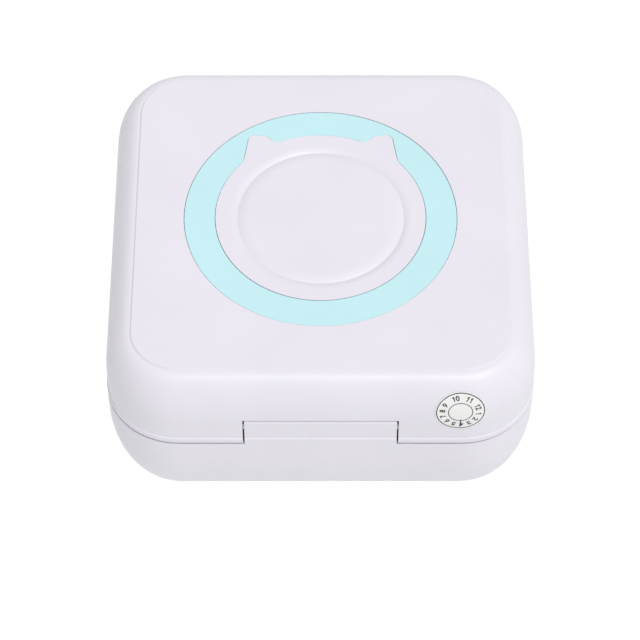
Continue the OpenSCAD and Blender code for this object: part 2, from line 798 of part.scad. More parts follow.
module gear_axles() color("#b9bcc0") {
    for (p = [idler_at, reduction_at]) {
        across(-gear_x1 - 0.4, -ear_x0) disc_at(p, axle_r);
        across(-gear_x1 - 0.35, -gear_x1 - 0.1) disc_at(p, hub_r - 0.1);
    }
}

module motor() color("#9a9ea3") {
    across(-ear_x0, -ear_x0 + motor_len) difference() {
        disc_at(motor_at, motor_r);
        disc_at(motor_at, motor_shaft_r + run_play);
        for (p = motor_screw_at) disc_at(p, screw_r);
    }
}

module motor_screws() color("#8d9095") {
    for (p = motor_screw_at) {
        across(-ear_x1, -ear_x0 + 3) disc_at(p, screw_r);
        across(-ear_x1 - 0.8, -ear_x1) disc_at(p, screw_head_r - 0.3);
    }
}

module motor_shaft() color("#b9bcc0") {
    across(-wheel_x0 - wheel_w - 0.3, -ear_x0 + motor_len + 0.5) disc_at(motor_at, motor_shaft_r);
}

module motor_pinion() color("#c9a646") {
    across(-wheel_x0 - wheel_w - 0.1, -wheel_x0 + 0.2) difference() {
        translate(motor_at) gear_2d(pinion_n, pinion_turn);
        disc_at(motor_at, motor_shaft_r);
    }
}

module control_board() color("#2f7d4f") {
    difference() {
        union() {
            translate([0, 0, board_z - board_t]) linear_extrude(board_t) polygon([
                [board_x0, board_y0], [board_x1, board_y0], [board_x1, board_cut - board_x1],
                [board_cut - board_y1, board_y1], [board_x0 + 3, board_y1], [board_x0, board_y1 - 3]]);
            // ribbon connector, processor, regulator, light
            box([-ribbon_half - 1, board_y0 + 1, board_z - 0.1],
                [ribbon_half + 1, board_y0 + 4.5, board_z + 1.8]);
            box([-16, board_y0 + 7.5, board_z - 0.1], [-9, board_y0 + 14.5, board_z + 1.2]);
            box([13, board_y0 + 8, board_z - 0.1], [19, board_y0 + 12, board_z + 2]);
            box([light_x - 1.3, board_y1 - 4.4, board_z - 0.1], [light_x + 1.3, board_y1 - 2, board_z + 2.6]);
        }
        for (p = board_screw_at) translate([p[0], p[1], board_z - board_t - over])
            cylinder(r = screw_r + 0.1, h = board_t + 2 * over);
    }
}

module board_screws() color("#8d9095") {
    for (p = board_screw_at) screw(p, board_z, 5, -1);
}

module usb_port() color("#b4b7bb") {
    shell_t = 0.32;
    translate([0, port_y1, usb_z]) rotate([90, 0, 0]) {
        difference() {
            linear_extrude(usb_len) slot_2d(usb_w, usb_h);
            translate([0, 0, -over]) linear_extrude(usb_len - 1 + over)
                slot_2d(usb_w - 2 * shell_t, usb_h - 2 * shell_t);
        }
        translate([-usb_w / 2 + 1.2, -0.35, 0.8]) cube([usb_w - 2.4, 0.7, usb_len - 1]);
    }
}

module status_light() color("#dfeef7") {
    translate([light_x, half_d, usb_z]) rotate([90, 0, 0])
        cylinder(r = light_r, h = half_d - board_y1 + 2);
}

module tact_switch() color("#2a2a2c") {
    box([board_x1 - 3.6, button_y - 2.6, board_z], [board_x1, button_y + 2.6, board_z + 3]);
    across(board_x1 - 0.1, plunger_x1) disc_at([button_y, switch_z], 0.8);
}

module power_button() color("#e6e4ea") {
    across(flange_x1 - 0.1, button_x1) translate([button_y, button_z]) slot_2d(button_l, button_h);
    across(flange_x1 - 1, flange_x1) translate([button_y, button_z]) slot_2d(button_l + 1.4, button_h + 1.2);
    across(stem_x0, flange_x1 - 0.9) disc_at([button_y, switch_z], 1);
}

module battery() color("#9fb3c8") {
    box([battery_x0, battery_y0, battery_z1 - battery_t],
        [battery_x0 + battery_l, battery_y0 + battery_w, battery_z1]);
}

module battery_pad() color("#3a3a3c") {
    box([battery_x0 + 3, battery_y0 + 3, battery_z1],
        [battery_x0 + battery_l - 3, battery_y0 + battery_w - 3, ceiling_z]);
}

top_shell();
ring_inlay();
date_sticker();
rear_cover();
lid();
hinge_pin();
platen_roller();
platen_shaft();
platen_gear();
platen_bushes();
paper_well();
well_screws();
paper_roll();
paper_core();
paper_sensor();
print_frame();
frame_screws();
print_head();
head_heatsink();
head_springs();
head_ribbon();
idler_gear();
reduction_gear();
gear_axles();
motor();
motor_screws();
motor_shaft();
motor_pinion();
control_board();
board_screws();
usb_port();
status_light();
tact_switch();
power_button();
battery();
battery_pad();
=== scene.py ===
"""Looks of the mini thermal printer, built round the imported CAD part.

Lengths are in metres, in the part's own frame: +Z out of the ring's face,
-Y the hinge side and +Y the side with the USB port.
"""

import json
import math

import bmesh
import bpy
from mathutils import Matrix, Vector


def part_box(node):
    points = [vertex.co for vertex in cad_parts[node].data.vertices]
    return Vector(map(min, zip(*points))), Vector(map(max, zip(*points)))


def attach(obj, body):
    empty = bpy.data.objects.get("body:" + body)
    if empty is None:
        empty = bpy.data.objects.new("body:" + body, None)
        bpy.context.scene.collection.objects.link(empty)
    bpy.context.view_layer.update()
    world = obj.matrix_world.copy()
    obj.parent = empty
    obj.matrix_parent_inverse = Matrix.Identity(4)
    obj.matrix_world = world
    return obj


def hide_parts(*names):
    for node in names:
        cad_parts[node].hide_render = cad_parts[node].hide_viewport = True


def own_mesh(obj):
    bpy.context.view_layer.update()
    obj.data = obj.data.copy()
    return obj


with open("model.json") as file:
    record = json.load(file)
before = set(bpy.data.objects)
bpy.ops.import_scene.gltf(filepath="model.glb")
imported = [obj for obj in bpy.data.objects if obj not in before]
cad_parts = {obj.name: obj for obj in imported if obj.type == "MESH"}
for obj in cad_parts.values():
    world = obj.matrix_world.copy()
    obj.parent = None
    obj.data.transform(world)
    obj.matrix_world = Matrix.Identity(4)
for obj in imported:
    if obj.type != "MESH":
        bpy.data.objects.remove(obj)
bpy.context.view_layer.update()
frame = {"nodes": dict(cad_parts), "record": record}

MM = 0.001

half_w, half_d, case_h = [float(c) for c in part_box("top_shell")[1]]

corner_r = 15 * MM
wall = 2 * MM
top_wall = 2.4 * MM
lip_step = 0.2 * MM

# The rounded edges are quarter ellipses: how far in and how high each reaches.
# The top's ends in a small step up to the flat face
top_in, top_rise, top_step = 5.4 * MM, 10.9 * MM, 0.3 * MM
base_in, base_rise = 5.8 * MM, 15.9 * MM

ring_low, ring_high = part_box("ring_inlay")
ring_centre = Vector(((ring_low[0] + ring_high[0]) / 2, (ring_low[1] + ring_high[1]) / 2, case_h))
ring_outer, ring_width = (ring_high[0] - ring_low[0]) / 2, 6.1 * MM
ear_reach = 5 * MM  # how far the ears stand out into the ring, and a little more
groove_fill = 0.08 * MM  # how far each side of the ring is moved towards its groove's

# The soft crease round the disc, with its reach outwards and inwards
crease_r, crease_out, crease_in = 16.9 * MM, 1.6 * MM, 2.2 * MM
crease_depth = 0.45 * MM

roll_low, roll_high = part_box("paper_roll")
roll_centre = [(a + b) / 2 for a, b in zip(roll_low, roll_high)]

# Points closer than weld are one. Points closer than hair to a face or line are on it
weld = 0.0001 * MM
hair = 0.01 * MM


# ---------------------------------------------------------------- materials

# Most values of a noise texture lie in this span
NOISE_SPAN = (0.3, 0.7)


def new_material(name, colour, roughness, metallic=0.0):
    """A material with its shader and object coordinates, ready for detail."""
    material = bpy.data.materials.new(name)
    material.use_nodes = True
    nodes = material.node_tree.nodes
    shader = nodes["Principled BSDF"]
    shader.inputs["Base Color"].default_value = (*colour, 1)
    shader.inputs["Roughness"].default_value = roughness
    shader.inputs["Metallic"].default_value = metallic
    coords = nodes.new("ShaderNodeTexCoord")
    return material, shader, coords.outputs["Object"]


def link(material, a, b):
    """Joins output a to input b in the nodes of a material or world."""
    material.node_tree.links.new(a, b)


def noise(material, coords, size, detail=2.0, stretch=(1, 1, 1)):
    """Noise with features of the given size in metres. Returns its value."""
    nodes = material.node_tree.nodes
    mapping = nodes.new("ShaderNodeMapping")
    mapping.inputs["Scale"].default_value = stretch
    texture = nodes.new("ShaderNodeTexNoise")
    texture.inputs["Scale"].default_value = 1 / size
    texture.inputs["Detail"].default_value = detail
    link(material, coords, mapping.inputs["Vector"])
    link(material, mapping.outputs["Vector"], texture.inputs["Vector"])
    return texture.outputs["Fac"]


def ramp(material, value, low, high):
    """A texture's value mapped to a blend of two colours."""
    node = material.node_tree.nodes.new("ShaderNodeValToRGB")
    node.color_ramp.elements[0].position = NOISE_SPAN[0]
    node.color_ramp.elements[1].position = NOISE_SPAN[1]
    node.color_ramp.elements[0].color = (*low, 1)
    node.color_ramp.elements[1].color = (*high, 1)
    link(material, value, node.inputs["Fac"])
    return node.outputs["Color"]


def map_range(material, value, span, low, high):
    """A value mapped from a span of its own to the range from low to high."""
    node = material.node_tree.nodes.new("ShaderNodeMapRange")
    node.inputs["From Min"].default_value = span[0]
    node.inputs["From Max"].default_value = span[1]
    node.inputs["To Min"].default_value = low
    node.inputs["To Max"].default_value = high
    link(material, value, node.inputs["Value"])
    return node.outputs["Result"]


def bump(material, shader, value, depth):
    """Relief of the given depth in metres."""
    node = material.node_tree.nodes.new("ShaderNodeBump")
    node.inputs["Strength"].default_value = 1.0
    node.inputs["Distance"].default_value = depth
    link(material, value, node.inputs["Height"])
    link(material, node.outputs["Normal"], shader.inputs["Normal"])


def shades(colour, share):
    """The colour a little darker and a little lighter."""
    return [c * (1 - share) for c in colour], [min(1, c * (1 + share)) for c in colour]


def plastic(name, colour, roughness, grain=0.25 * MM, relief=0.002 * MM, vary=0.012):
    """Moulded plastic: a fine spark texture, slow colour drift and uneven gloss."""
    drift, patch, uneven = 14 * MM, 3 * MM, 0.03
    material, shader, coords = new_material(name, colour, roughness)
    low, high = shades(colour, vary)
    link(material, ramp(material, noise(material, coords, drift), low, high), shader.inputs["Base Color"])
    patches = noise(material, coords, patch, 3)
    gloss = map_range(material, patches, NOISE_SPAN, roughness - uneven, roughness + uneven)
    link(material, gloss, shader.inputs["Roughness"])
    bump(material, shader, noise(material, coords, grain, 3), relief)
    shader.inputs["IOR"].default_value = 1.48
    return material


def metal(name, colour, roughness, stretch=(1, 1, 1), grain=0.12 * MM, vary=0.06):
    """Metal with drawn or ground marks, long on the axis that is stretched least."""
    smoother, rougher, relief = 0.06, 0.08, 0.003 * MM
    material, shader, coords = new_material(name, colour, roughness, 1.0)
    low, high = shades(colour, vary)
    marks = noise(material, coords, grain, 4, stretch)
    link(material, ramp(material, marks, low, high), shader.inputs["Base Color"])
    gloss = map_range(material, marks, NOISE_SPAN, roughness - smoother, roughness + rougher)
    link(material, gloss, shader.inputs["Roughness"])
    bump(material, shader, marks, relief)
    return material


def rings(material, coords, centre, pitch):
    """Rings round the X axis through centre, pitch apart."""
    nodes = material.node_tree.nodes
    mapping = nodes.new("ShaderNodeMapping")
    mapping.inputs["Location"].default_value = (0, -centre[1], -centre[2])
    wave = nodes.new("ShaderNodeTexWave")
    wave.wave_type = "RINGS"
    wave.rings_direction = "X"
    # At scale 1 the wave texture's rings are pi / 10 apart
    wave.inputs["Scale"].default_value = math.pi / 10 / pitch
    wave.inputs["Distortion"].default_value = 0.35
    wave.inputs["Detail"].default_value = 2
    wave.inputs["Detail Scale"].default_value = 1.5
    link(material, coords, mapping.inputs["Vector"])
    link(material, mapping.outputs["Vector"], wave.inputs["Vector"])
    return wave.outputs["Fac"]


def paper_material(centre):
    """Thermal paper: smooth and near white, its wound edges showing as fine rings."""
    pitch, relief = 0.32 * MM, 0.01 * MM
    material, shader, coords = new_material("thermal_paper", (0.88, 0.88, 0.87), 0.42)
    wound = rings(material, coords, centre, pitch)
    shade = ramp(material, wound, (0.80, 0.80, 0.79), (0.90, 0.90, 0.89))
    link(material, shade, shader.inputs["Base Color"])
    bump(material, shader, wound, relief)
    return material


def board_material():
    """Solder mask over copper tracks."""
    tile, relief = 3.2 * MM, 0.02 * MM
    material, shader, coords = new_material("board_mask", (0.02, 0.16, 0.07), 0.35)
    nodes = material.node_tree.nodes
    brick = nodes.new("ShaderNodeTexBrick")
    brick.inputs["Scale"].default_value = 1 / tile
    brick.inputs["Mortar Size"].default_value = 0.045
    brick.inputs["Color1"].default_value = (0.012, 0.13, 0.055, 1)
    brick.inputs["Color2"].default_value = (0.016, 0.15, 0.065, 1)
    brick.inputs["Mortar"].default_value = (0.03, 0.24, 0.11, 1)
    link(material, coords, brick.inputs["Vector"])
    link(material, brick.outputs["Color"], shader.inputs["Base Color"])
    bump(material, shader, brick.outputs["Fac"], relief)
    return material


def light_pipe_material():
    """The clear, faintly blue plastic of the status light."""
    grain, relief = 0.4 * MM, 0.004 * MM
    material, shader, coords = new_material("light_pipe", (0.75, 0.88, 0.95), 0.12)
    shader.inputs["Transmission Weight"].default_value = 0.6
    shader.inputs["IOR"].default_value = 1.5
    bump(material, shader, noise(material, coords, grain), relief)
    return material


CASE_WHITE = (0.732, 0.709, 0.776)
RING_AQUA = (0.510, 0.770, 0.815)

case_plastic = plastic("case_plastic", CASE_WHITE, 0.42)
ring_plastic = plastic("ring_plastic", RING_AQUA, 0.40)
well_plastic = plastic("well_plastic", CASE_WHITE, 0.5, relief=0.004 * MM)
gear_plastic = plastic("gear_plastic", (0.78, 0.78, 0.74), 0.38)
dark_plastic = plastic("dark_plastic", (0.022, 0.022, 0.025), 0.42, vary=0.1)
rubber = plastic("roller_rubber", (0.008, 0.008, 0.009), 0.62, grain=0.12 * MM, relief=0.012 * MM, vary=0.2)
foam = plastic("pad_foam", (0.05, 0.05, 0.055), 0.9, grain=0.5 * MM, relief=0.08 * MM, vary=0.3)
drawn_steel = metal("drawn_steel", (0.62, 0.63, 0.65), 0.28, stretch=(0.06, 1, 1))
zinc_steel = metal("zinc_steel", (0.46, 0.47, 0.49), 0.34)
sheet_steel = metal("sheet_steel", (0.55, 0.56, 0.58), 0.36, stretch=(1, 0.08, 1))
sink_metal = metal("sink_aluminium", (0.72, 0.73, 0.75), 0.38, stretch=(0.05, 1, 1))
brass = metal("gear_brass", (0.72, 0.52, 0.22), 0.3)
ribbon_film = plastic("ribbon_film", (0.55, 0.27, 0.05), 0.3, grain=1 * MM)
head_glaze = plastic("head_glaze", (0.16, 0.09, 0.05), 0.18, vary=0.15)
ridge_glaze = plastic("ridge_glaze", (0.30, 0.26, 0.22), 0.15, vary=0.1)
cell_wrap = plastic("cell_wrap", (0.16, 0.24, 0.34), 0.3, grain=2 * MM, relief=0.03 * MM, vary=0.08)
card = plastic("card_tube", (0.42, 0.32, 0.2), 0.8, grain=0.3 * MM, relief=0.03 * MM, vary=0.12)
sticker_film = plastic("sticker_film", (0.79, 0.79, 0.78), 0.35, grain=0.4 * MM)
print_ink = plastic("print_ink", (0.035, 0.035, 0.04), 0.5, vary=0.2)
pen_ink = plastic("pen_ink", (0.05, 0.03, 0.14), 0.45, grain=0.3 * MM, vary=0.3)

FINISHES = {
    "top_shell": case_plastic, "rear_cover": case_plastic, "lid": case_plastic,
    "power_button": case_plastic, "ring_inlay": ring_plastic, "date_sticker": sticker_film,
    "hinge_pin": drawn_steel, "paper_well": well_plastic, "well_screws": zinc_steel,
    "paper_sensor": dark_plastic, "print_frame": sheet_steel, "frame_screws": zinc_steel,
    "head_springs": drawn_steel, "head_ribbon": ribbon_film, "gear_axles": drawn_steel,
    "motor": sheet_steel, "motor_screws": zinc_steel, "control_board": board_material(),
    "board_screws": zinc_steel, "usb_port": drawn_steel, "status_light": light_pipe_material(),
    "tact_switch": dark_plastic, "battery": cell_wrap, "battery_pad": foam,
    "platen_bushes": gear_plastic, "platen_roller": rubber, "platen_shaft": drawn_steel,
    "platen_gear": gear_plastic, "print_head": head_glaze, "head_heatsink": sink_metal,
    "idler_gear": dark_plastic, "reduction_gear": gear_plastic, "motor_pinion": brass,
    "motor_shaft": drawn_steel, "paper_roll": paper_material(roll_centre), "paper_core": card,
}


# ---------------------------------------------------------------- pieces


def to_mesh(bm, name, smooth=False):
    """The finished mesh of bm, which is freed."""
    mesh = bpy.data.meshes.new(name)
    bm.to_mesh(mesh)
    bm.free()
    if smooth:
        mesh.polygons.foreach_set("use_smooth", [True] * len(mesh.polygons))
    return mesh


def node_body(node):
    """The name of the body that a CAD node rides on."""
    bodies = frame["record"]["behaviour"]["bodies"]
    return next(body for body, nodes in bodies.items() if node in nodes)


def part_of(mesh, node, material):
    """A piece that moves with a node's body, with one material slot holding the given material."""
    mesh.materials.append(material)
    piece = bpy.data.objects.new(mesh.name, mesh)
    bpy.context.collection.objects.link(piece)
    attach(piece, node_body(node))
    return piece


def placed(mesh, node):
    """A piece that stands for a node, in its material."""
    piece = part_of(mesh, node, FINISHES[node])
    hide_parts(node)
    return piece


def slabs(name, pairs):
    """A mesh of thin closed slabs, each from a low outline to a high one.

    Slabs that share a side are joined there.
    """
    bm = bmesh.new()
    corners, walls = {}, {}

    def corner(p):
        place = tuple(round(c / weld) for c in p)
        if place not in corners:
            corners[place] = bm.verts.new(p)
        return corners[place]

    for low, high in pairs:
        below = [corner(p) for p in low]
        above = [corner(p) for p in high]
        bm.faces.new(above)
        bm.faces.new(below[::-1])
        for i, j in zip(range(len(low)), [*range(1, len(low)), 0]):
            side = (below[i], below[j], above[j], above[i])
            if walls.pop(frozenset(side), None) is None:
                walls[frozenset(side)] = side
    for side in walls.values():
        bm.faces.new(side)
    bmesh.ops.recalc_face_normals(bm, faces=bm.faces)
    return to_mesh(bm, name)


# ---------------------------------------------------------------- case form

# How far off the true form a facet's corner may lie, and how far its normal may turn
form_gap = 0.12 * MM
form_cos = math.cos(math.radians(17))


def plan(p):
    """How far p lies inside the case's upright outline, and the way out of it."""
    qx = abs(p.x) - (half_w - corner_r)
    qy = abs(p.y) - (half_d - corner_r)
    if qx > 0 and qy > 0:
        away = Vector((qx, qy))
        inset = corner_r - away.length
        out = away.normalized()
    elif qx > qy:
        inset, out = corner_r - qx, Vector((1, 0))
    else:
        inset, out = corner_r - qy, Vector((0, 1))
    return inset, Vector((math.copysign(out.x, p.x), math.copysign(out.y, p.y), 0))


def curve_fit(inset, z, first, last_in, z_mid, rise):
    """Distance from a rounded edge's quarter ellipse, and its normal as (out, up).

    The ellipse starts first inside the outline at height z_mid and ends
    last_in inside it, rise higher, or lower where rise is below 0.
    """
    a, b = last_in - first, abs(rise)
    if (z - z_mid) * rise <= 0:
        return first - inset, (1.0, 0.0)
    u, v = (last_in - inset) / a, (z - z_mid) / rise
    if u <= 0:
        return v * b - b, (0.0, math.copysign(1, rise))
    reach = math.hypot(u, v)
    out, up = u / a, v / b
    size = math.hypot(out, up)
    return (reach - 1) * reach / size, (out / size, math.copysign(up / size, rise))


def case_normal(p, hint):
    """Normal of the case's smooth faces at p, or None where p isn't on one.

    hint is the normal of the facet that p is a corner of.
    """
    top_z, reach_down = case_h - top_rise, 2 * MM
    inset, out = plan(p)
    if p.z > top_z - reach_down:
        fits = [(curve_fit(inset, p.z, lip_step, top_in, top_z, top_rise - top_step), 1),
                (curve_fit(inset, p.z, wall, top_in, top_z, top_rise - top_wall), -1)]
    else:
        fits = [(curve_fit(inset, p.z, 0, base_in, base_rise, -base_rise), 1),
                (curve_fit(inset, p.z, wall, base_in, base_rise, wall - base_rise), -1)]
    for (gap, (level, up)), side in fits:
        normal = side * (level * out + Vector((0, 0, up)))
        if abs(gap) < form_gap and normal.dot(hint) > form_cos:
            return normal
    return None


def crease_profile(r):
    """Depth below the top face, and slope, of the soft crease round the disc."""
    reach = crease_out if r > crease_r else -crease_in
    share = 1 - (r - crease_r) / reach
    if share <= 0:
        return 0.0, 0.0
    return crease_depth * share * share, 2 * crease_depth * share / reach


def dish_normal(p):
    """Normal of the crease at p, or None away from it."""
    away = (p - ring_centre).to_2d()
    depth, slope = crease_profile(away.length)
    if slope == 0 or abs(case_h - depth - p.z) > 2 * hair:
        return None
    if abs(away.length - crease_r) < hair:
        slope = 0.0
    way = away.normalized()
    return Vector((-way.x * slope, -way.y * slope, 1)).normalized()


def shell_normal(p, hint):
    """Normal of the top shell's smooth faces at p."""
    return (hint.z > 0.5 and dish_normal(p)) or case_normal(p, hint)


def cut_crease(bm):
    """Puts a finely stepped crease in place of the CAD's two cones round the disc."""
    turns, steps_out, steps_in, crowding = 192, 6, 8, 1.6
    reach = ring_outer - ring_width + ear_reach
    old = [f for f in bm.faces if f.normal.z > 0.3
           and all(v.co.z > case_h - crease_depth - hair
                   and (v.co - ring_centre).to_2d().length < reach for v in f.verts)]
    bmesh.ops.delete(bm, geom=old, context="FACES")
    edge = [e for e in bm.edges if e.is_boundary]
    steps = [crease_out * (1 - i / steps_out) ** crowding for i in range(steps_out + 1)]
    steps += [-crease_in * (i / steps_in) ** crowding for i in range(1, steps_in + 1)]
    loops = []
    for step in steps:
        r = crease_r + step
        z = case_h - crease_profile(r)[0]
        angles = [2 * math.pi * i / turns for i in range(turns)]
        loops.append([bm.verts.new((ring_centre.x + r * math.cos(a), ring_centre.y + r * math.sin(a), z))
                      for a in angles])
    for outer, inner in zip(loops, loops[1:]):
        for i in range(turns):
            j = (i + 1) % turns
            bm.faces.new((outer[i], outer[j], inner[j], inner[i]))
    bm.faces.new(loops[-1])
    edge += [e for e in bm.edges if e.is_boundary and e not in edge]
    bmesh.ops.triangle_fill(bm, use_beauty=True, edges=edge, normal=(0, 0, 1))
    bm.normal_update()


def fill_groove(bm):
    """Widens the ring to within a hair of its groove's sides, as the finished ring sits."""
    bm.normal_update()
    moves = {}
    for v in bm.verts:
        total = Vector()
        for f in v.link_faces:
            if abs(f.normal.z) < 0.5:
                total += Vector((f.normal.x, f.normal.y, 0)).normalized()
        if total.length > 0.5:
            moves[v] = total.normalized() * groove_fill
    for v, move in moves.items():
        v.co += move


# ---------------------------------------------------------------- dressed nodes

# Edges sharper than sharp_angle are softened, and facets closer than flat_angle are joined
sharp_angle = math.radians(50)
flat_angle = math.radians(0.4)
shortest_edge = 2 * hair

# Faces whose normals differ by less than 30 degrees are shaded as one
shared_cos = 0.866


def dressed(node, edge, smooth=None, shape=None):
    """A copy of a CAD node with softened edges and true smooth shading in its place.

    edge is the width of the softened edges. smooth gives the exact normal at a
    point, given the face's own, or None. shape works on the mesh first.
    """
    bm = bmesh.new()
    bm.from_mesh(frame["nodes"][node].data)
    bmesh.ops.remove_doubles(bm, verts=bm.verts, dist=weld)
    bmesh.ops.dissolve_limit(bm, angle_limit=flat_angle, verts=bm.verts, edges=bm.edges)
    if shape:
        shape(bm)
    strip = bm.faces.layers.int.new("strip")
    corners = [e for e in bm.edges if len(e.link_faces) == 2
               and e.calc_face_angle(0) > sharp_angle and e.calc_length() > shortest_edge]
    made = bmesh.ops.bevel(bm, geom=corners, offset=edge, offset_type="OFFSET", segments=1,
                           profile=0.5, affect="EDGES", clamp_overlap=True)
    for face in made["faces"]:
        face[strip] = 1
    bmesh.ops.triangulate(bm, faces=[f for f in bm.faces if len(f.verts) > 4])
    bm.normal_update()
    bm.verts.index_update()
    normals = corner_normals(bm, strip, smooth)
    mesh = to_mesh(bm, node + "_dressed", smooth=True)
    mesh.normals_split_custom_set(normals)
    placed(mesh, node)


def corner_normals(bm, strip, smooth):
    """Each face corner's normal. A softened edge takes those of the widest faces beside it."""
    wide = {}
    for v in bm.verts:
        plain = [f for f in v.link_faces if not f[strip]]
        wide[v] = max(plain, key=lambda f: f.calc_area()) if plain else None

    def shared(v, face):
        exact = smooth(v.co, face.normal) if smooth else None
        if exact:
            return exact
        total = Vector()
        for other in v.link_faces:
            if not other[strip] and other.normal.dot(face.normal) > shared_cos:
                total += other.calc_area() * other.normal
        return total.normalized() if total.length > 0 else face.normal.copy()

    found = {}
    normals = []
    for face in bm.faces:
        for v in face.verts:
            source = wide[v] if face[strip] and wide[v] else face
            key = (v.index, source.index)
            if key not in found:
                found[key] = shared(v, source)
            normals.append(found[key])
    return normals


dressed("top_shell", 0.12 * MM, smooth=shell_normal, shape=cut_crease)
dressed("rear_cover", 0.12 * MM, smooth=case_normal)
dressed("lid", 0.12 * MM, smooth=case_normal)
dressed("ring_inlay", 0.12 * MM, shape=fill_groove)

SOFT_EDGES = {
    "paper_well": 0.15 * MM, "power_button": 0.25 * MM, "platen_bushes": 0.12 * MM,
    "platen_roller": 0.2 * MM, "platen_shaft": 0.2 * MM, "print_frame": 0.08 * MM,
    "head_heatsink": 0.1 * MM, "usb_port": 0.04 * MM, "paper_roll": 0.06 * MM, "paper_core": 0.1 * MM,
}
for node, edge in SOFT_EDGES.items():
    dressed(node, edge)


# ---------------------------------------------------------------- sticker

sticker_low, sticker_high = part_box("date_sticker")
sticker_tilt = math.radians(13)
sticker_r, sticker_t = 5 * MM, 0.12 * MM
sticker_z = 30.7 * MM
sticker_mid = Vector(((sticker_low[0] + sticker_high[0]) / 2, -half_d, sticker_z))
sticker_up = Vector((0, math.sin(sticker_tilt), math.cos(sticker_tilt)))
ink_t = 0.02 * MM
circle_turns = 72


def form_point(x, z, lift):
    """The point of the case's front wall and curve at x and z, lifted outwards."""
    rise = max(0.0, z - (case_h - top_rise)) / (top_rise - top_step)
    a = math.asin(min(1.0, rise))
    inset = lip_step + (top_in - lip_step) * (1 - math.cos(a))
    level, up = math.cos(a) / (top_in - lip_step), math.sin(a) / (top_rise - top_step)
    qx = abs(x) - (half_w - corner_r)
    if qx > 0:
        y = -(half_d - corner_r) - math.sqrt(max(0.0, (corner_r - inset) ** 2 - qx * qx))
        way = Vector((math.copysign(qx, x), y + half_d - corner_r)).normalized()
        normal = Vector((way.x * level, way.y * level, up)).normalized()
    else:
        y = -(half_d - inset)
        normal = Vector((0, -level, up)).normalized()
    return Vector((x, y, z)) + lift * normal


def on_sticker(u, v, lift):
    """A point of the sticker, u to the right of its middle and v up its tilted plane."""
    rounds = 12
    x = sticker_mid.x + u
    z = sticker_mid.z + v * sticker_up.z
    for _ in range(rounds):
        y = form_point(x, z, 0).y
        z = sticker_mid.z + (v - (y - sticker_mid.y) * sticker_up.y) / sticker_up.z
    return form_point(x, z, lift)


def wrapped(name, outlines, lift):
    """A thin print of flat outlines, laid on the sticker's curved face."""
    return slabs(name, [([on_sticker(u, v, lift - ink_t) for u, v in outline],
                         [on_sticker(u, v, lift) for u, v in outline]) for outline in outlines])


def band(r, width):
    """A circle's line, as small four-sided faces."""
    inner, outer = r - width / 2, r + width / 2
    faces = []
    for i in range(circle_turns):
        a, b = [2 * math.pi * (i + k) / circle_turns for k in (0, 1)]
        faces.append([(inner * math.cos(a), inner * math.sin(a)), (outer * math.cos(a), outer * math.sin(a)),
                      (outer * math.cos(b), outer * math.sin(b)), (inner * math.cos(b), inner * math.sin(b))])
    return faces


def stroke(points, width):
    """A polyline drawn with a pen of the given width."""
    faces = []
    for (x0, y0), (x1, y1) in zip(points, points[1:]):
        way = Vector((x1 - x0, y1 - y0)).normalized() * width / 2
        side = Vector((-way.y, way.x))
        faces.append([(x0 - way.x + side.x, y0 - way.y + side.y), (x0 - way.x - side.x, y0 - way.y - side.y),
                      (x1 + way.x - side.x, y1 + way.y - side.y), (x1 + way.x + side.x, y1 + way.y + side.y)])
    return faces


def arc(cx, cy, rx, ry, start, end, steps=8):
    """Points on an ellipse round (cx, cy), from start to end in degrees."""
    return [(cx + rx * math.cos(math.radians(start + (end - start) * i / steps)),
             cy + ry * math.sin(math.radians(start + (end - start) * i / steps))) for i in range(steps + 1)]


# Plain figures in a box one unit high and 0.6 wide, round its middle
FIGURES = {
    "0": [arc(0, 0, 0.26, 0.46, 0, 360, 16)],
    "1": [[(-0.16, 0.28), (0.04, 0.46), (0.04, -0.46)]],
    "2": [arc(0, 0.22, 0.24, 0.24, 160, -35) + [(-0.26, -0.46), (0.28, -0.46)]],
    "3": [arc(0, 0.23, 0.22, 0.23, 150, -90), arc(0, -0.22, 0.26, 0.24, 90, -150)],
    "4": [[(0.1, -0.46), (0.1, 0.46), (-0.28, -0.18), (0.28, -0.18)]],
    "5": [[(0.24, 0.46), (-0.18, 0.46), (-0.22, 0.06)] + arc(0, -0.16, 0.26, 0.3, 110, -150)],
    "6": [[(0.16, 0.46), (-0.18, 0.06)] + arc(0, -0.18, 0.25, 0.28, 150, -210, 12)],
    "7": [[(-0.26, 0.46), (0.26, 0.46), (-0.06, -0.46)]],
    "8": [arc(0, 0.23, 0.2, 0.22, 0, 360, 12), arc(0, -0.22, 0.25, 0.24, 0, 360, 12)],
    "9": [[(-0.16, -0.46), (0.18, -0.06)] + arc(0, 0.18, 0.25, 0.28, -30, 330, 12)],
}
FIGURE_PITCH = 0.74


def figure(text, r, turn, height, pen):
    """A number on the dial, its foot towards the middle."""
    faces = []
    a = math.radians(turn)
    out, right = Vector((math.cos(a), math.sin(a))), Vector((math.sin(a), -math.cos(a)))
    for k, digit in enumerate(text):
        shift = (k - (len(text) - 1) / 2) * FIGURE_PITCH * height
        for line in FIGURES[digit]:
            points = [out * (r + y * height) + right * (x * height + shift) for x, y in line]
            faces += stroke([tuple(p) for p in points], pen)
    return faces


